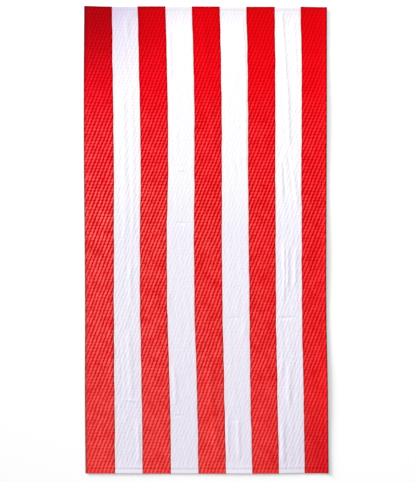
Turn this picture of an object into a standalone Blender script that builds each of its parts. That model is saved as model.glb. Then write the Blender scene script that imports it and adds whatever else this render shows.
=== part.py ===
"""Beach towel with nine lengthwise stripes, laid out flat.

The towel lies on the XY plane with its head edge towards +Y. It is one piece
of cloth: diagonal ribs of pile on its upper face, a flat hem all round, and a
few low ripples where it was folded and smoothed out again.
"""

import math
from collections import namedtuple

import bmesh
import bpy
from mathutils import Matrix, Vector

# Driving dimensions, in metres.
CLOTH_WIDTH = 0.762
CLOTH_LENGTH = 1.470
STRIPE_COUNT = 9

# The pile: leaning ribs, with the cloth showing between them.
PILE_CREST = 0.0030
PILE_VALLEY = 0.0018
RIB_PITCH = 0.0118
RIB_LEAN = math.radians(68.5)

# The hems: the cloth turned under and sewn down, with no pile on it.
END_HEM_DEPTH = 0.015
END_HEM_THICKNESS = 0.0024
SIDE_HEM_DEPTH = 0.0165
SIDE_HEM_THICKNESS = 0.0021
CORNER_THICKNESS = 0.0029
CORNER_ROUND = 0.004
HEM_STEP = 0.003

# The mesh: rows of points along the ribs, then faces that lie nearly in one
# plane are joined.
LENGTHWISE_ROWS = 60
WELD_WITHIN = 0.0001
FLAT_WITHIN = math.radians(0.6)

# How far the side edges stand out from an even rectangle.
SideSection = namedtuple("SideSection", "from_head left_out right_out")
SIDE_SECTIONS = (
    SideSection(0.000, 0.0026, -0.0015),
    SideSection(0.245, 0.0042, -0.0017),
    SideSection(0.490, 0.0040, -0.0023),
    SideSection(0.735, 0.0016, -0.0034),
    SideSection(0.980, 0.0002, -0.0029),
    SideSection(1.225, 0.0007, 0.0016),
    SideSection(1.470, -0.0014, 0.0037),
)

# How far the head and foot edges stand out from it.
EndSection = namedtuple("EndSection", "from_left head_out foot_out")
END_SECTIONS = (
    EndSection(0.000, 0.0012, -0.0010),
    EndSection(0.050, -0.0006, -0.0009),
    EndSection(0.200, -0.0004, -0.0003),
    EndSection(0.390, -0.0008, -0.0002),
    EndSection(0.575, -0.0018, -0.0004),
    EndSection(0.680, -0.0016, -0.0015),
    EndSection(0.762, -0.0034, -0.0013),
)

# Low ripples left by folding. Each runs from a point near the head to one
# nearer the foot; x is measured from the middle line.
Ripple = namedtuple("Ripple", "head_x head_at foot_x foot_at half_width height")
RIPPLES = (
    Ripple(0.234, 0.020, 0.256, 0.420, 0.020, 0.0016),
    Ripple(0.272, 0.030, 0.287, 0.240, 0.016, 0.0011),
    Ripple(0.252, 0.400, 0.296, 0.660, 0.020, 0.0015),
    Ripple(0.250, 0.740, 0.246, 0.940, 0.018, 0.0012),
    Ripple(0.284, 0.770, 0.280, 0.920, 0.016, 0.0010),
    Ripple(-0.008, 0.040, -0.002, 0.200, 0.018, 0.0012),
    Ripple(-0.008, 0.250, 0.026, 0.460, 0.020, 0.0014),
    Ripple(-0.006, 1.130, 0.020, 1.440, 0.020, 0.0014),
    Ripple(-0.270, 0.230, -0.262, 0.740, 0.018, 0.0010),
    Ripple(-0.236, 0.230, -0.232, 0.740, 0.018, 0.0010),
    Ripple(-0.308, 0.960, -0.304, 1.200, 0.018, 0.0012),
    Ripple(-0.250, 1.010, -0.244, 1.240, 0.020, 0.0010),
    Ripple(0.090, 1.270, 0.106, 1.440, 0.018, 0.0012),
)
RIPPLE_FADE = 0.25  # part of a ripple's length over which each end dies away

# Colours of the yarn.
RED_YARN = (0.72, 0.016, 0.022, 1.0)
WHITE_YARN = (0.90, 0.88, 0.93, 1.0)
YARN_ROUGHNESS = 0.92

HALF_WIDTH = CLOTH_WIDTH / 2
HALF_LENGTH = CLOTH_LENGTH / 2
RIB_RUN = 1 / math.tan(RIB_LEAN)  # how far a rib moves across for each metre along
TINY = 1e-6


def clear_scene():
    for old in list(bpy.data.objects):
        bpy.data.objects.remove(old, do_unlink=True)


def ease(t):
    """Smooth step from 0 to 1, level at both ends."""
    t = min(max(t, 0.0), 1.0)
    return t * t * (3 - 2 * t)


def slope_at(places, values, i):
    before, after = max(i - 1, 0), min(i + 1, len(places) - 1)
    return (values[after] - values[before]) / (places[after] - places[before])


def along_sections(sections, place, column):
    """Value of a column at a place along a table, on one smooth curve through its rows."""
    places = [row[0] for row in sections]
    values = [getattr(row, column) for row in sections]
    place = min(max(place, places[0]), places[-1])
    i = max(n for n in range(len(places) - 1) if places[n] <= place)
    span = places[i + 1] - places[i]
    t = (place - places[i]) / span
    start = slope_at(places, values, i) * span
    end = slope_at(places, values, i + 1) * span
    return (
        values[i] * (2 * t**3 - 3 * t**2 + 1)
        + start * (t**3 - 2 * t**2 + t)
        + values[i + 1] * (3 * t**2 - 2 * t**3)
        + end * (t**3 - t**2)
    )


def rib_height(x, y):
    """0 in the valley between two ribs, 1 on a rib's crest."""
    phase = ((x - y * RIB_RUN) / RIB_PITCH) % 1.0
    return 1 - abs(2 * phase - 1)


def ripple_lift(x, y):
    """How far the ripples lift the cloth at a point."""
    from_head = HALF_LENGTH - y
    lift = 0.0
    for ripple in RIPPLES:
        along = (from_head - ripple.head_at) / (ripple.foot_at - ripple.head_at)
        if not 0 < along < 1:
            continue
        centre = ripple.head_x + along * (ripple.foot_x - ripple.head_x)
        across = abs(x - centre) / ripple.half_width
        if across < 1:
            fade = ease(min(along, 1 - along) / RIPPLE_FADE)
            lift += ripple.height * fade * math.cos(across * math.pi / 2) ** 2
    return lift


def thickness(x, y):
    """Thickness of the cloth at a point: hem, rib or valley, and the steps between."""
    in_from_side = HALF_WIDTH - abs(x) - SIDE_HEM_DEPTH
    in_from_end = HALF_LENGTH - abs(y) - END_HEM_DEPTH
    if max(in_from_side, in_from_end) < TINY:
        hem = CORNER_THICKNESS
    elif in_from_end < in_from_side:
        hem = END_HEM_THICKNESS
    else:
        hem = SIDE_HEM_THICKNESS
    pile = PILE_VALLEY + (PILE_CREST - PILE_VALLEY) * rib_height(x, y)
    step = min(max(min(in_from_side, in_from_end) / HEM_STEP, 0.0), 1.0)
    return (1 - step) * hem + step * pile


def to_outline(x, y):
    """Moves a point of the even rectangle to its place in the real outline."""
    from_left = HALF_WIDTH + x
    from_head = HALF_LENGTH - y
    rightness = from_left / CLOTH_WIDTH
    footness = from_head / CLOTH_LENGTH
    left = along_sections(SIDE_SECTIONS, from_head, "left_out")
    right = along_sections(SIDE_SECTIONS, from_head, "right_out")
    head = along_sections(END_SECTIONS, from_left, "head_out")
    foot = along_sections(END_SECTIONS, from_left, "foot_out")
    return (
        x - (1 - rightness) * left + rightness * right,
        y + (1 - footness) * head - footness * foot,
    )


def cut_across(bm, point, normal, clear_outer=False):
    """Cuts the whole mesh with a plane, and drops what lies outside it if asked."""
    bmesh.ops.bisect_plane(
        bm,
        geom=bm.verts[:] + bm.edges[:] + bm.faces[:],
        dist=TINY,
        plane_co=point,
        plane_no=normal,
        clear_outer=clear_outer,
    )


def leaning_sheet():
    """Flat sheet of the cloth's size, with its lines along the ribs and hems."""
    bm = bmesh.new()
    half_pitch = RIB_PITCH / 2
    reach = HALF_WIDTH + HALF_LENGTH * RIB_RUN
    columns = 2 * math.ceil(reach / half_pitch)
    bmesh.ops.create_grid(bm, x_segments=columns, y_segments=LENGTHWISE_ROWS, size=1.0)
    widen = Matrix.Diagonal((columns / 2 * half_pitch, HALF_LENGTH, 1.0, 1.0))
    lean = Matrix.Identity(4)
    lean[0][1] = RIB_RUN
    bmesh.ops.transform(bm, matrix=lean @ widen, verts=bm.verts)
    for side in (-1, 1):
        across = Vector((side, 0, 0))
        cut_across(bm, across * HALF_WIDTH, across, clear_outer=True)
        for depth in (SIDE_HEM_DEPTH, SIDE_HEM_DEPTH + HEM_STEP):
            cut_across(bm, across * (HALF_WIDTH - depth), across)
        along = Vector((0, side, 0))
        for depth in (END_HEM_DEPTH, END_HEM_DEPTH + HEM_STEP):
            cut_across(bm, along * (HALF_LENGTH - depth), along)
    bmesh.ops.remove_doubles(bm, verts=bm.verts, dist=WELD_WITHIN)
    return bm


def give_thickness(bm):
    """Makes the flat sheet a closed body, with the ripples lifting both its faces."""
    extruded = bmesh.ops.extrude_face_region(bm, geom=bm.faces[:])
    upper = {item for item in extruded["geom"] if isinstance(item, bmesh.types.BMVert)}
    for vert in bm.verts:
        vert.co.z = ripple_lift(vert.co.x, vert.co.y)
        if vert in upper:
            vert.co.z += thickness(vert.co.x, vert.co.y)


def round_corners(bm):
    """Rounds the four upright edges at the towel's corners."""
    corners = []
    for edge in bm.edges:
        low, high = (vert.co for vert in edge.verts)
        upright = (low - high).xy.length < TINY
        at_side = HALF_WIDTH - abs(low.x) < TINY
        at_end = HALF_LENGTH - abs(low.y) < TINY
        if upright and at_side and at_end:
            corners.append(edge)
    bmesh.ops.bevel(bm, geom=corners, offset=CORNER_ROUND, segments=3, profile=0.5, affect="EDGES")
    bmesh.ops.remove_doubles(bm, verts=bm.verts, dist=WELD_WITHIN)


def join_flat_faces(bm):
    """Joins faces that lie nearly in one plane, and leaves the towel's edge as it is."""
    bm.normal_update()
    walls = [face for face in bm.faces if abs(face.normal.z) < 0.5]
    rim = {vert for face in walls for vert in face.verts}
    bmesh.ops.dissolve_limit(
        bm,
        angle_limit=FLAT_WITHIN,
        verts=[vert for vert in bm.verts if vert not in rim],
        edges=[edge for edge in bm.edges if not rim.issuperset(edge.verts)],
    )


def cloth_mesh():
    bm = leaning_sheet()
    give_thickness(bm)
    round_corners(bm)
    for vert in bm.verts:
        vert.co.x, vert.co.y = to_outline(vert.co.x, vert.co.y)
    join_flat_faces(bm)
    bmesh.ops.triangulate(bm, faces=bm.faces)
    bmesh.ops.recalc_face_normals(bm, faces=bm.faces)
    mesh = bpy.data.meshes.new("towel_cloth")
    bm.to_mesh(mesh)
    bm.free()
    return mesh


def striped_terry():
    """Cotton terry in even lengthwise stripes, red at both side edges."""
    material = bpy.data.materials.new("striped_terry")
    material.use_nodes = True
    nodes, links = material.node_tree.nodes, material.node_tree.links
    shader = nodes["Principled BSDF"]
    shader.inputs["Roughness"].default_value = YARN_ROUGHNESS
    shader.inputs["Metallic"].default_value = 0.0
    place = nodes.new("ShaderNodeTexCoord")
    split = nodes.new("ShaderNodeSeparateXYZ")
    links.new(place.outputs["Object"], split.inputs["Vector"])
    step = split.outputs["X"]
    for operation, value in (
        ("ADD", HALF_WIDTH),
        ("DIVIDE", CLOTH_WIDTH / STRIPE_COUNT),
        ("FLOOR", 0.0),
        ("MODULO", 2.0),
    ):
        node = nodes.new("ShaderNodeMath")
        node.operation = operation
        node.inputs[1].default_value = value
        links.new(step, node.inputs[0])
        step = node.outputs["Value"]
    yarn = nodes.new("ShaderNodeMix")
    yarn.data_type = "RGBA"
    yarn.inputs["A"].default_value = RED_YARN
    yarn.inputs["B"].default_value = WHITE_YARN
    links.new(step, yarn.inputs["Factor"])
    links.new(yarn.outputs["Result"], shader.inputs["Base Color"])
    return material


def main():
    clear_scene()
    towel = bpy.data.objects.new("towel_cloth", cloth_mesh())
    towel.data.materials.append(striped_terry())
    collection = bpy.data.collections.new("beach_towel")
    bpy.context.scene.collection.children.link(collection)
    collection.objects.link(towel)


main()
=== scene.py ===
import math

import bmesh
import bpy
import numpy as np
from mathutils import Matrix, Vector


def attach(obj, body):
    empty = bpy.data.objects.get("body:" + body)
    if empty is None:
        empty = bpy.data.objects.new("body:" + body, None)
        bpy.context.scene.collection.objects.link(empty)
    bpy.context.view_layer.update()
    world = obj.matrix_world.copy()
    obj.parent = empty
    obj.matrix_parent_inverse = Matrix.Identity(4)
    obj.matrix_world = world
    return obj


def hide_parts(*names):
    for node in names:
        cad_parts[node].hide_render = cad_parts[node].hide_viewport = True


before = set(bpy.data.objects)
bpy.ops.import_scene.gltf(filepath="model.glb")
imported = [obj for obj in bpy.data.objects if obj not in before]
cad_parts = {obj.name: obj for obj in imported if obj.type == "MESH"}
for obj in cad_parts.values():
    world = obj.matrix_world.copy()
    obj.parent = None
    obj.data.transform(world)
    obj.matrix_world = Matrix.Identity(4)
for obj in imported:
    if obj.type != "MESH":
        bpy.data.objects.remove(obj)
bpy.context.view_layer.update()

towel = {
    "node": "towel_cloth",
    "width": 0.762,
    "length": 1.470,
    "stripes": 9,
    "redSpread": 0.0012,    # the red stripes run this far over the even lines
}
halfWidth = towel["width"] / 2
halfLength = towel["length"] / 2
stripeWidth = towel["width"] / towel["stripes"]
colourLines = [i * stripeWidth - halfWidth + (1 if i % 2 else -1) * towel["redSpread"]
               for i in range(1, towel["stripes"])]

# How far the side edges and the lines between the stripes stand off an even
# layout, in millimetres to the right, at distances from the head.
stripeLines = {
    "fromHead": (0.0, 0.245, 0.490, 0.735, 0.980, 1.225, 1.470),
    "leftEdge": (-2.6, -4.2, -4.0, -1.6, -0.2, -0.7, 1.4),
    "line1": (-1.1, 1.9, 5.0, 5.2, 5.2, 6.9, 9.3),
    "line2": (-2.9, 2.7, 7.0, 4.6, 5.7, 10.4, 13.3),
    "line3": (-2.3, 3.9, 6.6, 2.2, 4.4, 11.9, 15.4),
    "line4": (-2.0, 5.1, 6.6, 5.3, 7.8, 15.2, 19.2),
    "line5": (-0.8, 4.4, 6.0, 6.0, 8.6, 13.8, 19.1),
    "line6": (0.5, 5.1, 5.9, 7.9, 10.8, 13.6, 19.4),
    "line7": (2.7, 4.9, 4.8, 6.0, 7.3, 11.6, 16.2),
    "line8": (1.9, 5.5, 4.3, 5.4, 6.5, 11.3, 14.7),
    "rightEdge": (-1.5, -1.7, -2.3, -3.4, -2.9, 1.6, 3.7),
}
lineNames = [name for name in stripeLines if name != "fromHead"]    # from left to right

# How far the head and foot edges stand out of it, in millimetres.
endLines = {
    "fromLeft": (0.0, 0.050, 0.200, 0.390, 0.575, 0.680, 0.762),
    "headOut": (1.2, -0.6, -0.4, -0.8, -1.8, -1.6, -3.4),
    "footOut": (-1.0, -0.9, -0.3, -0.2, -0.4, -1.5, -1.3),
}

# Low ripples that lift the cloth: the points of each (to the right of the middle, from
# the head), half its width, and its height.
ripples = (
    (((0.233, 0.005), (0.240, 0.120), (0.248, 0.250), (0.254, 0.357), (0.256, 0.450)), 0.010, 0.0017),
    (((0.266, 0.030), (0.274, 0.120), (0.278, 0.240)), 0.011, 0.0010),
    (((0.230, 0.450), (0.236, 0.560), (0.234, 0.610)), 0.009, 0.0010),
    (((0.262, 0.490), (0.276, 0.570), (0.284, 0.650)), 0.009, 0.0010),
    (((0.239, 0.730), (0.239, 0.830), (0.238, 0.940)), 0.008, 0.0013),
    (((0.251, 0.740), (0.250, 0.900)), 0.008, 0.0013),
    (((0.276, 0.750), (0.274, 0.860), (0.264, 0.900)), 0.010, 0.0012),
    (((0.254, 1.110), (0.250, 1.180), (0.250, 1.270)), 0.012, 0.0014),
    (((0.230, 1.100), (0.226, 1.180)), 0.009, 0.0009),
    (((0.226, 1.300), (0.228, 1.450)), 0.012, 0.0010),
    (((-0.250, 0.020), (-0.246, 0.110)), 0.010, 0.0009),
    (((-0.266, 0.230), (-0.258, 0.740)), 0.014, 0.0007),
    (((-0.238, 0.230), (-0.234, 0.740)), 0.010, 0.0006),
    (((-0.244, 0.800), (-0.242, 0.960)), 0.009, 0.0009),
    (((-0.308, 0.960), (-0.304, 1.200)), 0.012, 0.0010),
    (((-0.250, 1.010), (-0.244, 1.240)), 0.014, 0.0009),
    (((-0.226, 1.290), (-0.222, 1.450)), 0.008, 0.0009),
    (((-0.116, 0.060), (-0.114, 0.240)), 0.009, 0.0009),
    (((-0.124, 0.880), (-0.122, 0.980)), 0.010, 0.0009),
    (((-0.112, 1.110), (-0.108, 1.270)), 0.010, 0.0010),
    (((0.112, 0.020), (0.118, 0.240), (0.118, 0.520)), 0.008, 0.0010),
    (((0.110, 0.990), (0.108, 1.060)), 0.010, 0.0008),
    (((0.052, 1.270), (0.050, 1.440)), 0.009, 0.0009),
    (((0.084, 1.280), (0.086, 1.440)), 0.010, 0.0010),
    (((-0.008, 0.040), (-0.002, 0.200)), 0.018, 0.0012),
    (((-0.008, 0.250), (0.026, 0.460)), 0.020, 0.0014),
    (((-0.006, 1.130), (0.020, 1.440)), 0.020, 0.0014),
    (((0.144, 0.452), (0.207, 0.456)), 0.009, 0.0008),
    (((-0.108, 0.512), (-0.070, 0.516)), 0.009, 0.0008),
    (((-0.280, 1.236), (-0.214, 1.242)), 0.009, 0.0007),
)

# Narrow creases pressed into the pile, in the same columns, the last one their depth.
creases = (
    (((0.248, 0.450), (0.258, 0.500), (0.268, 0.600)), 0.008, 0.0009),
    (((0.222, 0.440), (0.236, 0.500), (0.246, 0.620)), 0.008, 0.0010),
    (((0.262, 0.020), (0.260, 0.140)), 0.007, 0.0005),
    (((0.212, 0.981), (0.278, 0.981)), 0.006, 0.0010),
    (((0.050, 0.980), (0.112, 0.980)), 0.006, 0.0005),
    (((0.232, 1.060), (0.262, 1.110)), 0.006, 0.0005),
    (((-0.318, 0.970), (-0.308, 1.190)), 0.006, 0.0007),
    (((-0.137, 0.690), (-0.134, 0.790)), 0.008, 0.0007),
    (((-0.146, 0.890), (-0.145, 0.970)), 0.007, 0.0006),
    (((-0.108, 0.680), (-0.045, 0.684)), 0.007, 0.0006),
    (((-0.126, 1.288), (-0.080, 1.288)), 0.006, 0.0005),
    (((0.052, 1.302), (0.100, 1.302)), 0.006, 0.0005),
    (((0.078, 0.483), (0.116, 0.545)), 0.010, 0.0006),
    (((-0.018, 0.270), (0.004, 0.388), (0.020, 0.450)), 0.005, 0.0005),
    (((-0.014, 1.160), (0.004, 1.426)), 0.005, 0.0005),
    (((-0.280, 1.010), (-0.268, 1.230)), 0.005, 0.0004),
)
foldFade = 0.040            # length over which the end of a ripple or a crease fades out

# How high the four edges stand off the floor.
curl = {
    "left": 0.0006,
    "right": 0.0042,
    "head": 0.0008,
    "foot": 0.0018,
    "reach": 0.035,         # how far in from the edge it begins
    "swing": 0.25,          # the share of it that comes and goes along an edge
    "every": 0.42,          # the length of one such wave
    "turn": 2.0,            # radians from one edge's waves to the next edge's
}

# The weave isn't quite straight: small drifts of the cloth in its own plane, as
# size and waves per metre across and along.
drifts = ((0.0003, 5.0, 9.0), (0.0003, 11.0, -4.0), (0.0002, -3.0, 15.0), (0.0002, 19.0, 8.0))
driftTurn = 1.7             # radians from one to the next
driftAlong = 2.0            # and from those to the right to those towards the head
driftFade = 0.05            # distance from the edge within which they fade out


def ease(t):
    t = np.clip(t, 0, 1)
    return t * t * (3 - 2 * t)


def smoothAlong(places, values, where):
    # one smooth curve through the values of a table, read at many places
    places, values = np.array(places), np.array(values)
    slopes = np.gradient(values, places)
    where = np.clip(where, places[0], places[-1])
    i = np.clip(np.searchsorted(places, where, side="right") - 1, 0, len(places) - 2)
    span = places[i + 1] - places[i]
    t = (where - places[i]) / span
    return (
        values[i] * (2 * t**3 - 3 * t**2 + 1)
        + slopes[i] * span * (t**3 - 2 * t**2 + t)
        + values[i + 1] * (3 * t**2 - 2 * t**3)
        + slopes[i + 1] * span * (t**3 - t**2)
    )


def toOutline(x, y):
    # from the even layout to where the cloth really lies
    fromHead, fromLeft = halfLength - y, halfWidth + x
    places = stripeLines["fromHead"]
    shifts = np.array([smoothAlong(places, stripeLines[name], fromHead) for name in lineNames])
    at = np.clip(fromLeft / towel["width"], 0, 1) * (len(lineNames) - 1)
    left = np.minimum(at.astype(int), len(lineNames) - 2)
    n = np.arange(len(x))
    shift = shifts[left, n] * (1 - (at - left)) + shifts[left + 1, n] * (at - left)
    head = smoothAlong(endLines["fromLeft"], endLines["headOut"], fromLeft)
    foot = smoothAlong(endLines["fromLeft"], endLines["footOut"], fromLeft)
    footness = fromHead / towel["length"]
    return x + shift / 1000, y + ((1 - footness) * head - footness * foot) / 1000


def foldHeight(x, y, folds):
    # height of a set of folds, each round its own line of points
    fromHead = halfLength - y
    height = np.zeros(len(x))
    for path, halfSpan, tall in folds:
        path = np.array(path)
        runs = np.diff(path, axis=0)
        lengths = np.linalg.norm(runs, axis=1)
        nearest, along = np.full(len(x), np.inf), np.zeros(len(x))
        for start, run, length, before in zip(path, runs, lengths, np.cumsum(lengths) - lengths):
            t = np.clip(((x - start[0]) * run[0] + (fromHead - start[1]) * run[1]) / length**2, 0, 1)
            away = np.hypot(x - start[0] - t * run[0], fromHead - start[1] - t * run[1])
            closer = away < nearest
            nearest = np.where(closer, away, nearest)
            along = np.where(closer, before + t * length, along)
        reach = min(foldFade, lengths.sum() / 2)
        fade = ease(np.minimum(along, lengths.sum() - along) / reach)
        height += tall * fade * np.cos(np.minimum(nearest / halfSpan, 1) * math.pi / 2) ** 2
    return height


def drift(x, y, start):
    return sum(size * np.sin(2 * math.pi * (across * x + along * y) + start + i * driftTurn)
               for i, (size, across, along) in enumerate(drifts))


def fromEdges(x, y):
    return {"left": halfWidth + x, "right": halfWidth - x, "head": halfLength - y, "foot": halfLength + y}


def edgeCurl(x, y):
    lift = np.zeros(len(x))
    for i, (side, distance) in enumerate(fromEdges(x, y).items()):
        along = y if side in ("left", "right") else x
        raised = np.clip(1 - distance / curl["reach"], 0, 1) ** 2
        raised = raised * (1 + curl["swing"] * np.sin(2 * math.pi * along / curl["every"] + curl["turn"] * i))
        lift = np.maximum(lift, curl[side] * raised)
    return lift


# The hems: how deep each is folded, where its seam runs and how far that dents the
# pile, its thickness, and how much of the pile and of its ropes still shows on it.
hems = {
    "left": {"fold": 0.0156, "seam": 0.0146, "dip": 0.25, "thick": 0.0019, "pile": 0.35, "ropes": 0.50},
    "right": {"fold": 0.0178, "seam": 0.0168, "dip": 0.35, "thick": 0.0019, "pile": 0.45, "ropes": 0.75},
    "head": {"fold": 0.0130, "seam": 0.0120, "dip": 0.60, "thick": 0.0021, "pile": 0.25, "ropes": 0.10},
    "foot": {"fold": 0.0158, "seam": 0.0148, "dip": 0.12, "thick": 0.0018, "pile": 0.20, "ropes": 0.90},
}
hemSlope = 0.003            # width over which a hem goes over into the open pile
seamLines = {
    "x": (hems["left"]["seam"] - halfWidth, halfWidth - hems["right"]["seam"]),
    "y": (hems["foot"]["seam"] - halfLength, halfLength - hems["head"]["seam"]),
}


def onHem(hem, distance):
    # 1 on a hem, 0 beyond it
    return ease((hem["fold"] + hemSlope / 2 - distance) / hemSlope)


def clothTop(x, y, ground):
    # height of the woven cloth under the pile, over the plain ground and over the folded hems
    extra = np.zeros(len(x))
    for side, distance in fromEdges(x, y).items():
        extra = np.maximum(extra, (hems[side]["thick"] - ground) * onHem(hems[side], distance))
    return ground + extra


def readPlaces(mesh):
    points = np.empty(len(mesh.vertices) * 3)
    mesh.vertices.foreach_get("co", points)
    return points.reshape(-1, 3)


def writePlaces(mesh, points):
    mesh.vertices.foreach_set("co", points.ravel())
    mesh.update()


def layOnTowel(mesh):
    # keeps the even place of every point as a UV map, then moves the points onto the towel
    points = readPlaces(mesh)
    x, y = points[:, 0].copy(), points[:, 1].copy()
    corners = np.empty(len(mesh.loops), dtype=int)
    mesh.loops.foreach_get("vertex_index", corners)
    even = np.column_stack(((x + halfWidth) / towel["width"], (y + halfLength) / towel["length"]))
    layer = mesh.uv_layers.new(name="evenCloth")
    layer.data.foreach_set("uv", even[corners].ravel())
    points[:, 2] += foldHeight(x, y, ripples) + edgeCurl(x, y)
    inside = ease(np.minimum(halfWidth - np.abs(x), halfLength - np.abs(y)) / driftFade)
    driftedX = x + inside * drift(x, y, 0.0)
    driftedY = y + inside * drift(y, x, driftAlong)
    points[:, 0], points[:, 1] = toOutline(driftedX, driftedY)
    writePlaces(mesh, points)


def countTriangles(mesh):
    return sum(len(face.vertices) - 2 for face in mesh.polygons)


# Geometry Nodes helpers

def newTree(name, inputs):
    tree = bpy.data.node_groups.new(name, "GeometryNodeTree")
    tree.interface.new_socket("Geometry", in_out="OUTPUT", socket_type="NodeSocketGeometry")
    tree.interface.new_socket("Geometry", in_out="INPUT", socket_type="NodeSocketGeometry")
    for label, kind, value in inputs:
        socket = tree.interface.new_socket(label, in_out="INPUT", socket_type="NodeSocket" + kind)
        if value is not None:
            socket.default_value = value
    return tree, tree.nodes.new("NodeGroupInput"), tree.nodes.new("NodeGroupOutput")


def addNode(tree, kind, links=(), **settings):
    # a node with its settings, and with a link or a plain value at each socket named
    node = tree.nodes.new(kind)
    for name, value in settings.items():
        setattr(node, name, value)
    for socket, source in dict(links).items():
        if isinstance(source, bpy.types.NodeSocket):
            tree.links.new(source, node.inputs[socket])
        else:
            node.inputs[socket].default_value = source
    return node


def calc(tree, operation, a, b=0.0, c=0.0):
    return addNode(tree, "ShaderNodeMath", {0: a, 1: b, 2: c}, operation=operation).outputs[0]


def unevenness(tree, place, scale, detail=1.0):
    # soft noise, above and below 0
    noise = addNode(tree, "ShaderNodeTexNoise", {"Vector": place, "Scale": scale, "Detail": detail})
    return calc(tree, "SUBTRACT", noise.outputs[0], 0.5)


def finishTree(tree, geometry, material, result):
    real = addNode(tree, "GeometryNodeRealizeInstances", {"Geometry": geometry})
    dressed = addNode(tree, "GeometryNodeSetMaterial", {"Geometry": real.outputs[0], "Material": material})
    tree.links.new(dressed.outputs[0], result.inputs[0])


def runTree(obj, tree, values):
    # runs a tree on an object, and leaves it a plain mesh
    modifier = obj.modifiers.new(tree.name, "NODES")
    modifier.node_group = tree
    for item in tree.interface.items_tree:
        if item.in_out == "INPUT" and item.name in values:
            modifier[item.identifier] = values[item.name]
    made = bpy.data.meshes.new_from_object(obj.evaluated_get(bpy.context.evaluated_depsgraph_get()))
    obj.modifiers.clear()
    obj.data = made
    made.name = obj.name


def newPiece(name, mesh):
    obj = bpy.data.objects.new(name, mesh)
    bpy.context.scene.collection.objects.link(obj)
    return obj


# Materials

def newMaterial(name):
    material = bpy.data.materials.new(name)
    material.use_nodes = True
    tree = material.node_tree
    return material, tree, tree.nodes["Principled BSDF"]


def ramp(tree, source, stops):
    node = addNode(tree, "ShaderNodeValToRGB", {0: source})
    node.color_ramp.interpolation = "EASE"
    elements = node.color_ramp.elements
    while len(elements) < len(stops):
        elements.new(0.5)
    for element, (place, colour) in zip(elements, stops):
        element.position = place
        element.color = (*colour, 1.0)
    return node.outputs[0]


def blendColours(tree, factor, first, second, mode="MIX"):
    node = addNode(tree, "ShaderNodeMix", {0: factor, 6: first, 7: second}, data_type="RGBA", blend_type=mode)
    return node.outputs[2]


def tint(tree, factor, colour, shade):
    # multiplies a colour by a shade, as far as the factor says
    return blendColours(tree, factor, colour, (*shade, 1.0), "MULTIPLY")


def rise(tree, value, start, end):
    # goes smoothly from 0 to 1 as the value goes from start to end
    node = addNode(tree, "ShaderNodeMapRange", {"Value": value, "From Min": start, "From Max": end},
        interpolation_type="SMOOTHSTEP")
    return node.outputs[0]


# Colours of the yarn in the pits, on the body of the ropes and at their tips, by share of
# the way from the head to the foot. By height they paint shade into the red's pits and a
# sheen onto its tips. Along the length they paint light: darker at the head end, with a
# painted sheen haze on the red and darker white towards the foot. Then what they are
# multiplied by: at the right side, where the red's painted sheen fades, beside another
# stripe, along the sides and the head as painted shade of the rounded edge, along the foot
# as painted light on the white, where the pile is parted as painted shade in the groove,
# and in each corner as painted shade.
redYarn = {
    "pit": (
        (0.00, (0.570, 0.000, 0.004)), (0.05, (0.600, 0.000, 0.004)), (0.14, (0.570, 0.000, 0.006)),
        (0.30, (0.510, 0.000, 0.005)), (0.45, (0.460, 0.000, 0.003)), (0.60, (0.490, 0.001, 0.003)),
        (0.75, (0.500, 0.002, 0.004)), (0.85, (0.550, 0.008, 0.010)), (1.00, (0.580, 0.010, 0.010)),
    ),
    "rope": (
        (0.00, (0.630, 0.000, 0.005)), (0.15, (0.760, 0.000, 0.007)), (0.30, (0.780, 0.002, 0.010)),
        (0.45, (0.785, 0.006, 0.008)), (0.60, (0.785, 0.015, 0.016)), (0.75, (0.785, 0.020, 0.020)),
        (0.85, (0.800, 0.030, 0.030)), (1.00, (0.810, 0.032, 0.030)),
    ),
    "tip": (
        (0.00, (0.680, 0.000, 0.006)), (0.04, (0.720, 0.000, 0.010)), (0.15, (0.900, 0.014, 0.032)),
        (0.30, (0.930, 0.098, 0.103)), (0.45, (0.920, 0.150, 0.140)), (0.60, (0.910, 0.118, 0.111)),
        (0.75, (0.905, 0.112, 0.106)), (0.85, (0.890, 0.098, 0.094)), (1.00, (0.880, 0.098, 0.093)),
    ),
    # painted sheen: less of it towards the right, so the red's green and blue are cut there
    "right": (0.965, 0.30, 0.38),
    "beside": (0.54, 1.00, 1.00),
    # painted shade: the red darkens along the sides and the head, where the rounded edge turns from the light
    "edge": (0.50, 1.00, 1.00),
    "foot": (1.00, 1.00, 1.00),
    "parted": (0.55, 0.45, 0.50),
    "cornerShade": ((0.58, 0.60, 0.70), (0.82, 0.50, 0.68)),
}
whiteYarn = {
    "pit": (
        (0.00, (0.740, 0.710, 0.765)), (0.06, (0.820, 0.810, 0.830)), (0.35, (0.805, 0.795, 0.820)),
        (0.52, (0.760, 0.740, 0.820)), (1.00, (0.740, 0.710, 0.810)),
    ),
    "rope": (
        (0.00, (0.760, 0.730, 0.785)), (0.06, (0.850, 0.840, 0.860)), (0.35, (0.830, 0.820, 0.850)),
        (0.52, (0.780, 0.760, 0.845)), (1.00, (0.755, 0.725, 0.830)),
    ),
    "tip": (
        (0.00, (0.730, 0.700, 0.755)), (0.06, (0.820, 0.810, 0.830)), (0.35, (0.810, 0.800, 0.825)),
        (0.52, (0.765, 0.745, 0.825)), (1.00, (0.740, 0.710, 0.810)),
    ),
    "right": (1.0, 1.0, 1.0),
    "beside": (1.20, 0.89, 0.87),
    # painted shade: the white darkens a little along the head
    "edge": (0.97, 0.97, 0.98),
    # painted light: the white is lightened along the foot, against the shade at that edge
    "foot": (1.32, 1.32, 1.25),
    "parted": (0.72, 0.71, 0.74),
    "cornerShade": ((0.74, 0.68, 0.86), (0.92, 0.91, 0.92)),
}
# The corners darkened with painted shade: shares of the way across and from the head, and the radius in
# metres.
shadedCorners = ((0.0, 0.0, 0.34), (1.0, 1.0, 0.30))

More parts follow.
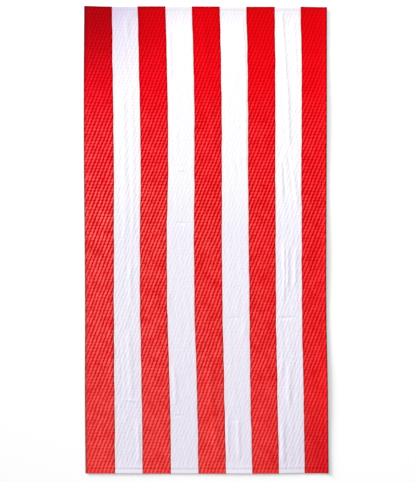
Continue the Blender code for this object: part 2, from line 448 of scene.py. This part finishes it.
terry = {
    "sheen": 0.04,
    "roughness": 0.95,
    "gloss": 0.02,
    "loopSize": 0.0022,     # one loop of the pile
    "loopDepth": 0.0005,
    "loopUneven": 0.8,
    "bump": 0.6,
    "fleckSize": 0.0040,    # uneven spots in the colour, and how much height of the pile they are worth
    "fleck": 0.55,
    "cloudSize": 0.045,     # the same for wide, faint patches
    "cloud": 0.26,
    "pitBelow": 0.40,       # heights of the pile where its colour goes from the pits to the ropes
    "ropeAbove": 0.95,
    "tipFrom": 0.75,        # and from the ropes to their tips
    "tipAbove": 1.12,
    "besideReach": 0.0085,  # how far in the colour changes beside another stripe
    "edgeReach": 0.0100,    # along the sides and the head
    "footReach": 0.0035,
    "bendHead": 0.3,        # power of the way across with which the right side's colour comes in,
    "bendGain": 4.0,        # what it gains to the foot,
    "bendLate": 3.0,        # and how late it does
}
weave = {
    "size": 0.0011,
    "depth": 0.00015,
    "height": 0.90,         # its colour is that of pile of this height
}


def clothPlace(tree):
    # how far across and how far from the head a point of the cloth lies, from 0 to 1
    place = addNode(tree, "ShaderNodeUVMap", uv_map="evenCloth").outputs[0]
    split = addNode(tree, "ShaderNodeSeparateXYZ", {0: place})
    return split.outputs[0], calc(tree, "SUBTRACT", 1.0, split.outputs[1])


def intoWhite(tree, across):
    # how far a place lies from the nearest line between two stripes, above 0 on the white side
    turn = calc(tree, "FRACT", calc(tree, "MULTIPLY_ADD", across, towel["stripes"] / 2, 0.25))
    fromRed = calc(tree, "ABSOLUTE", calc(tree, "SUBTRACT", turn, 0.5))
    return calc(tree, "MULTIPLY_ADD", fromRed, 2 * stripeWidth, -stripeWidth / 2 - towel["redSpread"])


def yarnColour(tree, yarn, height, across, fromHead):
    # by the height of the pile, with painted shade in the pits and painted sheen on the tips, and with the
    # painted light that the place on the towel gets
    pit, rope, tip = (ramp(tree, fromHead, yarn[name]) for name in ("pit", "rope", "tip"))
    colour = blendColours(tree, rise(tree, height, terry["pitBelow"], terry["ropeAbove"]), pit, rope)
    colour = blendColours(tree, rise(tree, height, terry["tipFrom"], terry["tipAbove"]), colour, tip)
    # painted sheen: the red loses it towards the right, over most of the width at the head and only near the
    # right side at the foot
    late = calc(tree, "POWER", fromHead, terry["bendLate"])
    bend = calc(tree, "MULTIPLY_ADD", late, terry["bendGain"], terry["bendHead"])
    colour = tint(tree, calc(tree, "POWER", across, bend), colour, yarn["right"])
    # painted shade: each of these corners darkens towards its point
    for (cornerAcross, cornerDown, radius), left in zip(shadedCorners, yarn["cornerShade"]):
        aside = calc(tree, "MULTIPLY", calc(tree, "SUBTRACT", across, cornerAcross), towel["width"] / radius)
        down = calc(tree, "MULTIPLY", calc(tree, "SUBTRACT", fromHead, cornerDown), towel["length"] / radius)
        squares = calc(tree, "ADD", calc(tree, "MULTIPLY", aside, aside), calc(tree, "MULTIPLY", down, down))
        colour = tint(tree, rise(tree, calc(tree, "SQRT", squares), 1.0, 0.0), colour, left)
    toSide = calc(tree, "MINIMUM", across, calc(tree, "SUBTRACT", 1.0, across))
    fromSide = calc(tree, "MULTIPLY", toSide, towel["width"])
    fromEdge = calc(tree, "MINIMUM", fromSide, calc(tree, "MULTIPLY", fromHead, towel["length"]))
    fromFoot = calc(tree, "MULTIPLY", calc(tree, "SUBTRACT", 1.0, fromHead), towel["length"])
    fromLine = calc(tree, "ABSOLUTE", intoWhite(tree, across))
    # edge paints shade and foot paints light near the rim; beside only follows the lines between the stripes
    for name, distance in (("edge", fromEdge), ("foot", fromFoot), ("beside", fromLine)):
        colour = tint(tree, rise(tree, distance, terry[name + "Reach"], 0.0), colour, yarn[name])
    return colour


def loopBump(tree, depth, size):
    place = addNode(tree, "ShaderNodeTexCoord").outputs["Object"]
    loops = addNode(tree, "ShaderNodeTexVoronoi", {
        "Vector": place, "Scale": 1 / size, "Randomness": terry["loopUneven"]}, feature="SMOOTH_F1")
    height = calc(tree, "SUBTRACT", 1.0, loops.outputs["Distance"])
    bump = addNode(tree, "ShaderNodeBump", {"Strength": terry["bump"], "Distance": depth, "Height": height})
    return bump.outputs[0]


def finishCloth(tree, shader, colour, bump):
    tree.links.new(colour, shader.inputs["Base Color"])
    tree.links.new(bump, shader.inputs["Normal"])
    shader.inputs["Roughness"].default_value = terry["roughness"]
    shader.inputs["Sheen Weight"].default_value = terry["sheen"]
    shader.inputs["Specular IOR Level"].default_value = terry["gloss"]


def terryMaterial(name, yarn):
    material, tree, shader = newMaterial(name)
    across, fromHead = clothPlace(tree)
    height = addNode(tree, "ShaderNodeAttribute", attribute_name="tip").outputs["Fac"]
    place = addNode(tree, "ShaderNodeTexCoord").outputs["Object"]
    for spot in ("fleck", "cloud"):
        uneven = unevenness(tree, place, 1 / terry[spot + "Size"])
        height = calc(tree, "MULTIPLY_ADD", uneven, terry[spot], height)
    colour = yarnColour(tree, yarn, height, across, fromHead)
    # painted shade: where the pile parts at the seams and between the stripes, the colour is darkened as
    # shade in the groove
    parted = addNode(tree, "ShaderNodeAttribute", attribute_name="parted").outputs["Fac"]
    colour = tint(tree, parted, colour, yarn["parted"])
    finishCloth(tree, shader, colour, loopBump(tree, terry["loopDepth"], terry["loopSize"]))
    return material


def hemMaterial(name):
    # flat woven cloth in the same stripes, read from the even place of each point
    material, tree, shader = newMaterial(name)
    across, fromHead = clothPlace(tree)
    red = yarnColour(tree, redYarn, weave["height"], across, fromHead)
    white = yarnColour(tree, whiteYarn, weave["height"], across, fromHead)
    isWhite = calc(tree, "GREATER_THAN", intoWhite(tree, across), 0.0)
    colour = blendColours(tree, isWhite, red, white)
    finishCloth(tree, shader, colour, loopBump(tree, weave["depth"], weave["size"]))
    return material


terryOf = {"red": terryMaterial("redTerry", redYarn), "white": terryMaterial("whiteTerry", whiteYarn)}
hemCloth = hemMaterial("hemCloth")
print("materials made")


# The cloth itself: one closed sheet with a rounded edge. The pile hides all of it
# but its edge and its underside.
cloth = {
    "acrossSteps": 120,
    "alongSteps": 150,
    "edgeRound": 0.0010,
    "roundLines": (0.0, 0.08, 0.3, 0.65, 1.1),    # mesh lines over the round edge, as shares of it
    "rim": 0.0028,          # full thickness as far in as this,
    "coreFrom": 0.004,      # and from here on the thin core under the pile
    "core": 0.0009,
    "lastLine": 0.006,      # the last mesh line of the edge, and the first of the even ones
    "evenFrom": 0.012,
}
hairline = 1e-6             # points nearer to each other than this are one


def meshLines(half, steps):
    # places of the mesh lines across one direction: close ones at the edges, even ones between
    rounded = [share * cloth["edgeRound"] for share in cloth["roundLines"]]
    near = np.array((*rounded, cloth["rim"], cloth["coreFrom"], cloth["lastLine"]))
    inner = np.linspace(cloth["evenFrom"] - half, half - cloth["evenFrom"], steps + 1)
    return np.concatenate((near - half, inner, half - near[::-1]))


def makeCloth():
    xs, ys = meshLines(halfWidth, cloth["acrossSteps"]), meshLines(halfLength, cloth["alongSteps"])
    gridX, gridY = np.meshgrid(xs, ys)
    x, y = gridX.ravel(), gridY.ravel()
    fromEdge = np.minimum(halfWidth - np.abs(x), halfLength - np.abs(y))
    inside = ease((fromEdge - cloth["rim"]) / (cloth["coreFrom"] - cloth["rim"]))
    thick = clothTop(x, y, pile["ground"]) * (1 - inside) + cloth["core"] * inside
    inward = np.clip(fromEdge / cloth["edgeRound"], 0, 1)
    bulge = np.sqrt(1 - (1 - inward) ** 2) / 2
    columns, rows = len(xs), len(ys)
    index = np.arange(rows * columns).reshape(rows, columns)
    a, b, c, d = index[:-1, :-1], index[:-1, 1:], index[1:, 1:], index[1:, :-1]
    upper = np.stack((a, b, c, d), axis=-1).reshape(-1, 4)
    lower = np.stack((d, c, b, a), axis=-1).reshape(-1, 4) + rows * columns
    face = np.column_stack((x, y, thick * (0.5 + bulge)))
    back = np.column_stack((x, y, thick * (0.5 - bulge)))
    mesh = bpy.data.meshes.new("towelCloth")
    mesh.from_pydata(np.concatenate((face, back)).tolist(), [], np.concatenate((upper, lower)).tolist())
    bm = bmesh.new()
    bm.from_mesh(mesh)
    bmesh.ops.remove_doubles(bm, verts=[v for v in bm.verts if v.is_boundary], dist=hairline)
    bm.to_mesh(mesh)
    bm.free()
    mesh.shade_smooth()
    layOnTowel(mesh)
    mesh.materials.append(hemCloth)
    print("cloth made", countTriangles(mesh), "triangles")
    return newPiece("towelCloth", mesh)


# The pile: leaning ropes of loops with small pits between them, flattened on the hems.
pile = {
    "ribPitch": 0.0118,     # from rope to rope across the towel
    "ribRun": 1 / math.tan(math.radians(68.5)),
    "rowPitch": 0.0099,     # from pit to pit along it
    "pointsAcross": 6,      # mesh steps from rope to rope, and from pit to pit
    "pointsAlong": 4,
    "start": 0.0012,        # from the edge of the cloth to the first loops
    "shoulder": 0.0045,     # and on to where they stand up fully
    "ground": 0.0018,       # top of the cloth that the loops stand on
    "seat": 0.0005,         # how deep the rim of the loops is set into it
    "plain": 0.885,         # height of the loops where there are no ropes
    "seamReach": 0.0020,    # how far from a seam the pile is dented
    "lineReach": 0.0015,    # and how far from the line between two stripes it parts
    "upperTo": 0.15,        # the Y where the ropes begin to change from those of the upper half
    "lowerFrom": -0.05,     # and where they are those of the lower half
    "wanderWaves": 13.0,    # waves in a metre of the wandering of the ropes
    "seed": 7.0,
}
borderDip = {"red": 0.45, "white": 0.15}    # how far the pile parts where two stripes meet
# What else differs between the colours: the height of the pits over the ground and of the
# ropes over the pits, and the depth of uneven streaks with their waves in a metre. Then, in
# the upper half and again in the lower half, how narrow the valleys are, how far the ropes
# join between two pits, how far their crests swell there, how uneven they are and how far
# they wander.
pileOf = {
    "red": {
        "ribFoot": 0.0001, "ribHeight": 0.0012,
        "streak": 0.0002, "streakAcross": 75.0, "streakAlong": 24.0,
        "narrow": 1.4, "bridge": 0.66, "knot": 0.10, "uneven": 0.08, "wander": 0.0008,
        "footNarrow": 2.1, "footBridge": 0.58, "footKnot": 0.03, "footUneven": 0.10, "footWander": 0.0050,
    },
    "white": {
        "ribFoot": 0.0006, "ribHeight": 0.00046,
        "streak": 0.0014, "streakAcross": 85.0, "streakAlong": 13.0,
        "narrow": 1.4, "bridge": 0.70, "knot": 0.06, "uneven": 0.16, "wander": 0.0030,
        "footNarrow": 1.6, "footBridge": 0.45, "footKnot": 0.05, "footUneven": 0.50, "footWander": 0.0040,
    },
}
calmStripes = {4: 0.65, 6: 0.65}    # the ropes and streaks of these stripes are lower


def pileShares(x, y, dip):
    # how thick the pile stands, how much of it is roped, and how far it parts
    # at seams, between the stripes and at the edge
    shape = np.ones(len(x))
    share = {"thick": np.ones(len(x)), "roped": np.ones(len(x)), "parted": np.zeros(len(x))}
    for side, distance in fromEdges(x, y).items():
        hem = hems[side]
        share["thick"] *= 1 - (1 - hem["pile"]) * onHem(hem, distance)
        share["roped"] *= 1 - (1 - hem["ropes"]) * onHem(hem, distance)
        alongSeam = np.clip(1 - np.abs(distance - hem["seam"]) / pile["seamReach"], 0, 1)
        share["parted"] = np.maximum(share["parted"], hem["dip"] * alongSeam)
        inward = np.clip((distance - pile["start"]) / pile["shoulder"], 0, 1)
        shape *= inward * (2 - inward)
    toLine = np.abs(x[:, None] - np.array(colourLines)).min(axis=1)
    share["parted"] = np.maximum(share["parted"], dip * np.clip(1 - toLine / pile["lineReach"], 0, 1))
    share["thick"] *= shape * (1 - share["parted"])
    return share


def ropeLayout(number):
    # pitch and lean of the ropes in the even layout: a stripe that lies wider than there
    # on average gets closer ropes, so that they come out alike on every stripe
    wider = np.mean(stripeLines[lineNames[number + 1]]) - np.mean(stripeLines[lineNames[number]])
    stretch = 1 + wider / 1000 / stripeWidth
    return {"ribPitch": pile["ribPitch"] / stretch, "ribRun": pile["ribRun"] / stretch}


def leaningGrid(left, right, layout):
    # flat grid from left to right, whose lines follow the ropes and the rows of pits
    stepX, stepY = layout["ribPitch"] / pile["pointsAcross"], pile["rowPitch"] / pile["pointsAlong"]
    lean = halfLength * layout["ribRun"]
    first, last = math.floor((left - lean) / stepX), math.ceil((right + lean) / stepX)
    rows = 2 * math.ceil(halfLength / stepY)
    bm = bmesh.new()
    bmesh.ops.create_grid(bm, x_segments=last - first, y_segments=rows, size=1.0)
    spread = Matrix.Diagonal(((last - first) / 2 * stepX, rows / 2 * stepY, 1.0, 1.0))
    spread.translation.x = (first + last) / 2 * stepX
    leaning = Matrix.Identity(4)
    leaning[0][1] = layout["ribRun"]
    bmesh.ops.transform(bm, matrix=leaning @ spread, verts=bm.verts)
    return bm


def cut(bm, way, place, clearBeyond=0):
    # cuts the grid along a straight line, and drops what lies beyond it where asked
    across = Vector((1, 0, 0)) if way == "x" else Vector((0, 1, 0))
    everything = bm.verts[:] + bm.edges[:] + bm.faces[:]
    bmesh.ops.bisect_plane(bm, geom=everything, dist=hairline, plane_co=across * place,
        plane_no=across * (clearBeyond or 1), clear_outer=clearBeyond != 0)


def stripeSlab(name, number, layout, dip):
    # one stripe as a flat slab, with each point's share of the pile
    bounds = [pile["start"] - halfWidth, *colourLines, halfWidth - pile["start"]]
    left, right = bounds[number:number + 2]
    end = halfLength - pile["start"]
    bm = leaningGrid(left, right, layout)
    for way, place, side in (("x", left, -1), ("x", right, 1), ("y", -end, -1), ("y", end, 1)):
        cut(bm, way, place, side)
    for way, places in seamLines.items():
        for place in places:
            cut(bm, way, place)
    walls = bmesh.ops.extrude_edge_only(bm, edges=[edge for edge in bm.edges if edge.is_boundary])
    for item in walls["geom"]:
        if isinstance(item, bmesh.types.BMVert):
            item.co.z = -pile["seat"]
    bmesh.ops.recalc_face_normals(bm, faces=bm.faces)
    mesh = bpy.data.meshes.new(name)
    bm.to_mesh(mesh)
    bm.free()
    points = readPlaces(mesh)
    for share, values in pileShares(points[:, 0], points[:, 1], dip).items():
        mesh.attributes.new(share, "FLOAT", "POINT").data.foreach_set("value", values)
    return newPiece(name, mesh)


def towardFoot(tree, y, size, name):
    # one value in the upper half of the towel, going over into another for the lower half
    foot = size["foot" + name.capitalize()]
    low = addNode(tree, "ShaderNodeMapRange", {
        "Value": y, "From Min": size["upperTo"], "From Max": size["lowerFrom"]}).outputs[0]
    return calc(tree, "MULTIPLY_ADD", low, calc(tree, "SUBTRACT", foot, size[name]), size[name])


def ropePattern(tree, x, y, size):
    # height of the ropes, 1 on a crest and 0 in a pit, with the number of the rope and of the row
    unleaned = calc(tree, "SUBTRACT", x, calc(tree, "MULTIPLY", y, size["ribRun"]))
    rope = calc(tree, "DIVIDE", unleaned, size["ribPitch"])
    row = calc(tree, "DIVIDE", y, size["rowPitch"])
    valley = calc(tree, "ABSOLUTE", calc(tree, "MULTIPLY_ADD", calc(tree, "FRACT", rope), 2.0, -1.0))
    valley = calc(tree, "POWER", valley, towardFoot(tree, y, size, "narrow"))
    closed = calc(tree, "ABSOLUTE", calc(tree, "COSINE", calc(tree, "MULTIPLY", row, math.pi)))
    bridge = calc(tree, "MULTIPLY", closed, towardFoot(tree, y, size, "bridge"))
    depth = calc(tree, "MULTIPLY", valley, calc(tree, "SUBTRACT", 1.0, bridge))
    knots = calc(tree, "MULTIPLY", calc(tree, "SUBTRACT", 1.0, valley), closed)
    knots = calc(tree, "MULTIPLY", knots, towardFoot(tree, y, size, "knot"))
    height = calc(tree, "ADD", calc(tree, "SUBTRACT", 1.0, depth), knots)
    return height, calc(tree, "FLOOR", rope), calc(tree, "FLOOR", row)


def ropeTree():
    # raises ropes and pits on a flat slab, and keeps how near the tips each point is
    names = ("ribPitch", "ribRun", "rowPitch", "seat", "plain", "upperTo", "lowerFrom", "wanderWaves", "seed")
    sizes = {name: pile[name] for name in names} | pileOf["red"]
    inputs = [(name, "Float", float(value)) for name, value in sizes.items()]
    tree, given, result = newTree("pileRopes", inputs + [("Material", "Material", None)])
    size = given.outputs
    place = addNode(tree, "GeometryNodeInputPosition").outputs[0]
    x, y, z = addNode(tree, "ShaderNodeSeparateXYZ", {0: place}).outputs
    aside = unevenness(tree, place, size["wanderWaves"])
    aside = calc(tree, "MULTIPLY", aside, towardFoot(tree, y, size, "wander"))
    height, rope, row = ropePattern(tree, calc(tree, "ADD", x, aside), y, size)
    knot = addNode(tree, "ShaderNodeCombineXYZ", {0: rope, 1: row, 2: size["seed"]}).outputs[0]
    chance = addNode(tree, "ShaderNodeTexWhiteNoise", {"Vector": knot}, noise_dimensions="3D")
    waves = addNode(tree, "ShaderNodeCombineXYZ", {0: size["streakAcross"], 1: size["streakAlong"]})
    spread = addNode(tree, "ShaderNodeVectorMath", {0: place, 1: waves.outputs[0]}, operation="MULTIPLY")
    patch = unevenness(tree, spread.outputs[0], 1.0, detail=3.0)
    swing = calc(tree, "SUBTRACT", calc(tree, "ADD", chance.outputs["Value"], patch), 0.5)
    swing = calc(tree, "MULTIPLY", swing, towardFoot(tree, y, size, "uneven"))
    height = calc(tree, "MULTIPLY", height, calc(tree, "ADD", 1.0, swing))
    thick, roped = (
        addNode(tree, "GeometryNodeInputNamedAttribute", {"Name": name}, data_type="FLOAT").outputs[0]
        for name in ("thick", "roped"))
    height = calc(tree, "MULTIPLY_ADD", calc(tree, "SUBTRACT", height, size["plain"]), roped, size["plain"])
    foot = calc(tree, "MULTIPLY_ADD", patch, size["streak"], size["ribFoot"])
    lift = calc(tree, "MULTIPLY", calc(tree, "MULTIPLY_ADD", height, size["ribHeight"], foot), thick)
    onTop = calc(tree, "GREATER_THAN", z, calc(tree, "MULTIPLY", size["seat"], -0.5))
    named = addNode(tree, "GeometryNodeStoreNamedAttribute", {
        "Geometry": size["Geometry"], "Name": "tip", "Value": height}, data_type="FLOAT", domain="POINT")
    raised = addNode(tree, "GeometryNodeSetPosition", {
        "Geometry": named.outputs[0], "Selection": onTop,
        "Offset": addNode(tree, "ShaderNodeCombineXYZ", {2: lift}).outputs[0]})
    finishTree(tree, raised.outputs[0], size["Material"], result)
    return tree


def makeStripes():
    # red at both sides, and every other one white
    tree = ropeTree()
    made = []
    for number in range(towel["stripes"]):
        colour = "white" if number % 2 else "red"
        sizes = {**pileOf[colour], **ropeLayout(number)}
        for name in ("ribHeight", "streak"):
            sizes[name] *= calmStripes.get(number + 1, 1.0)
        piece = stripeSlab(f"{colour}Stripe{number + 1}", number, sizes, borderDip[colour])
        runTree(piece, tree, {"Material": terryOf[colour], **sizes})
        points = readPlaces(piece.data)
        points[:, 2] += clothTop(points[:, 0], points[:, 1], pile["ground"])
        points[:, 2] -= foldHeight(points[:, 0], points[:, 1], creases)
        writePlaces(piece.data, points)
        piece.data.shade_smooth()
        layOnTowel(piece.data)
        made.append(piece)
        print("stripe made", piece.name, countTriangles(piece.data), "triangles")
    return made


towelCloth = makeCloth()
stripes = makeStripes()


# The seams: a line of stitches along every side, through the folded hems.
seam = {
    "stitch": 0.0027,       # length of a stitch, and from one to the next
    "pitch": 0.0034,
    "thread": 0.00045,
    "inset": 0.004,         # from the edge of the towel to the end of a seam
    "lift": 0.00005,        # how far the middle of the thread lies over the dented pile
    "wander": 0.12,         # how far a stitch turns out of line, in radians
    "seed": 11,
    "redThread": (0.50, 0.003, 0.008),
    "whiteThread": (0.74, 0.73, 0.77),
    "roughness": 0.6,
    "gloss": 0.3,
}


def threadMaterial(name):
    # the thread takes the colour of the stripe that it crosses
    material, tree, shader = newMaterial(name)
    across, fromHead = clothPlace(tree)
    isWhite = calc(tree, "GREATER_THAN", intoWhite(tree, across), 0.0)
    colour = blendColours(tree, isWhite, (*seam["redThread"], 1.0), (*seam["whiteThread"], 1.0))
    tree.links.new(colour, shader.inputs["Base Color"])
    shader.inputs["Roughness"].default_value = seam["roughness"]
    shader.inputs["Specular IOR Level"].default_value = seam["gloss"]
    return material


def stitchTree():
    inputs = [(name, "Float", seam[name]) for name in ("stitch", "pitch", "thread", "wander")]
    inputs += [("seed", "Int", seam["seed"]), ("Material", "Material", None)]
    tree, given, result = newTree("seamStitches", inputs)
    size = given.outputs
    curve = addNode(tree, "GeometryNodeMeshToCurve", {"Mesh": size["Geometry"]})
    points = addNode(tree, "GeometryNodeCurveToPoints", {
        "Curve": curve.outputs[0], "Length": size["pitch"]}, mode="LENGTH")
    turn = addNode(tree, "FunctionNodeRandomValue", {
        "Min": calc(tree, "MULTIPLY", size["wander"], -1.0), "Max": size["wander"], "Seed": size["seed"]},
        data_type="FLOAT")
    spin = addNode(tree, "ShaderNodeCombineXYZ", {2: turn.outputs[1]})
    aside = addNode(tree, "FunctionNodeEulerToRotation", {0: spin.outputs[0]})
    along = addNode(tree, "FunctionNodeAlignRotationToVector", {
        "Vector": points.outputs["Tangent"]}, axis="X")
    facing = addNode(tree, "FunctionNodeRotateRotation", {
        "Rotation": along.outputs[0], "Rotate By": aside.outputs[0]})
    ball = addNode(tree, "GeometryNodeMeshUVSphere", {"Segments": 6, "Rings": 4, "Radius": 0.5})
    length = addNode(tree, "ShaderNodeCombineXYZ", {0: size["stitch"], 1: size["thread"], 2: size["thread"]})
    stitches = addNode(tree, "GeometryNodeInstanceOnPoints", {
        "Points": points.outputs["Points"], "Instance": ball.outputs["Mesh"],
        "Rotation": facing.outputs[0], "Scale": length.outputs[0]})
    finishTree(tree, stitches.outputs[0], size["Material"], result)
    return tree


def makeStitches():
    # straight seams left, right, head and foot in the even layout, then laid with the rest
    endX, endY = halfWidth - seam["inset"], halfLength - seam["inset"]
    ends = [(x, y, 0.0) for x in seamLines["x"] for y in (-endY, endY)]
    ends += [(x, y, 0.0) for y in reversed(seamLines["y"]) for x in (-endX, endX)]
    mesh = bpy.data.meshes.new("hemStitches")
    mesh.from_pydata(ends, [(i, i + 1) for i in range(0, len(ends), 2)], [])
    piece = newPiece("hemStitches", mesh)
    runTree(piece, stitchTree(), {"Material": threadMaterial("sewingThread")})
    points = readPlaces(piece.data)
    thick = pileShares(points[:, 0], points[:, 1], 0.0)["thick"]
    points[:, 2] += clothTop(points[:, 0], points[:, 1], pile["ground"]) + seam["lift"]
    points[:, 2] += thick * (pileOf["red"]["ribFoot"] + pile["plain"] * pileOf["red"]["ribHeight"])
    writePlaces(piece.data, points)
    piece.data.shade_smooth()
    layOnTowel(piece.data)
    print("stitches made", countTriangles(piece.data), "triangles")
    return piece


hemStitches = makeStitches()


# Stage, light and camera
studio = {
    "photoHeight": 1.5164,          # what the photo's frame covers at the towel, in metres
    "aim": (0.0057, -0.0035),
    "cameraHeight": 4.0,
    "sensorWidth": 36.0,
    "clipEnd": 50.0,
    "domeTop": 0.47,                # brightness overhead, and round the horizon
    "domeRim": 1.05,
    "rimHeight": 0.12,
    "keyStrength": 4.4,
    "keyElevation": 15.0,
    "keyAzimuth": 140.0,            # from the upper left of the picture
    "keySoftness": 22.0,
    "fillPower": 46.0,
    "fillPlace": (0.2, 1.5, 3.0),   # beyond the head, so that the foot is a little darker
    "fillSize": 1.2,
    "floor": (0.95, 0.95, 0.95),
    "floorRoughness": 0.9,
    "floorGloss": 0.1,
    "floorSize": 60.0,
    "floorDrop": 0.0003,            # how far the floor stays clear of the underside
}


def makeCamera():
    camera = bpy.data.cameras.new("photoCamera")
    camera.sensor_width = studio["sensorWidth"]
    camera.lens = camera.sensor_width * studio["cameraHeight"] / studio["photoHeight"]
    camera.clip_end = studio["clipEnd"]
    obj = newPiece("photoCamera", camera)
    obj.location = (*studio["aim"], studio["cameraHeight"])
    bpy.context.scene.camera = obj


def makeFloor():
    bpy.ops.mesh.primitive_plane_add(size=studio["floorSize"], location=(0, 0, -studio["floorDrop"]))
    floor = bpy.context.object
    floor.name = "floor"
    material, tree, shader = newMaterial("paleFloor")
    shader.inputs["Base Color"].default_value = (*studio["floor"], 1.0)
    shader.inputs["Roughness"].default_value = studio["floorRoughness"]
    shader.inputs["Specular IOR Level"].default_value = studio["floorGloss"]
    floor.data.materials.append(material)


def makeLight():
    world = bpy.data.worlds.new("studio")
    bpy.context.scene.world = world
    world.use_nodes = True
    tree = world.node_tree
    back = tree.nodes["Background"]
    back.inputs["Color"].default_value = (1.0, 1.0, 1.0, 1.0)
    towards = addNode(tree, "ShaderNodeTexCoord").outputs["Generated"]
    up = calc(tree, "ABSOLUTE", addNode(tree, "ShaderNodeSeparateXYZ", {0: towards}).outputs[2])
    glow = addNode(tree, "ShaderNodeMapRange", {
        "Value": up, "From Max": studio["rimHeight"],
        "To Min": studio["domeRim"], "To Max": studio["domeTop"]}, interpolation_type="SMOOTHSTEP")
    tree.links.new(glow.outputs[0], back.inputs["Strength"])
    key = bpy.data.lights.new("key", "SUN")
    key.energy = studio["keyStrength"]
    key.angle = math.radians(studio["keySoftness"])
    lamp = newPiece("key", key)
    tilt, turn = math.radians(studio["keyElevation"]), math.radians(studio["keyAzimuth"])
    toLight = Vector((math.cos(tilt) * math.cos(turn), math.cos(tilt) * math.sin(turn), math.sin(tilt)))
    lamp.rotation_euler = toLight.to_track_quat("Z", "Y").to_euler()
    fill = bpy.data.lights.new("fill", "AREA")
    fill.energy = studio["fillPower"]
    fill.size = studio["fillSize"]
    newPiece("fill", fill).location = studio["fillPlace"]


makeCamera()
makeFloor()
makeLight()
bpy.context.scene.view_settings.view_transform = "Standard"
print("stage, light and camera made")

slots = {towelCloth: "striped_terry", hemStitches: "sewing_thread"}
slots.update({piece: "white_terry" if i % 2 else "red_terry" for i, piece in enumerate(stripes)})
for piece, slot in slots.items():
    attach(piece, "root")
    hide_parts(towel["node"])
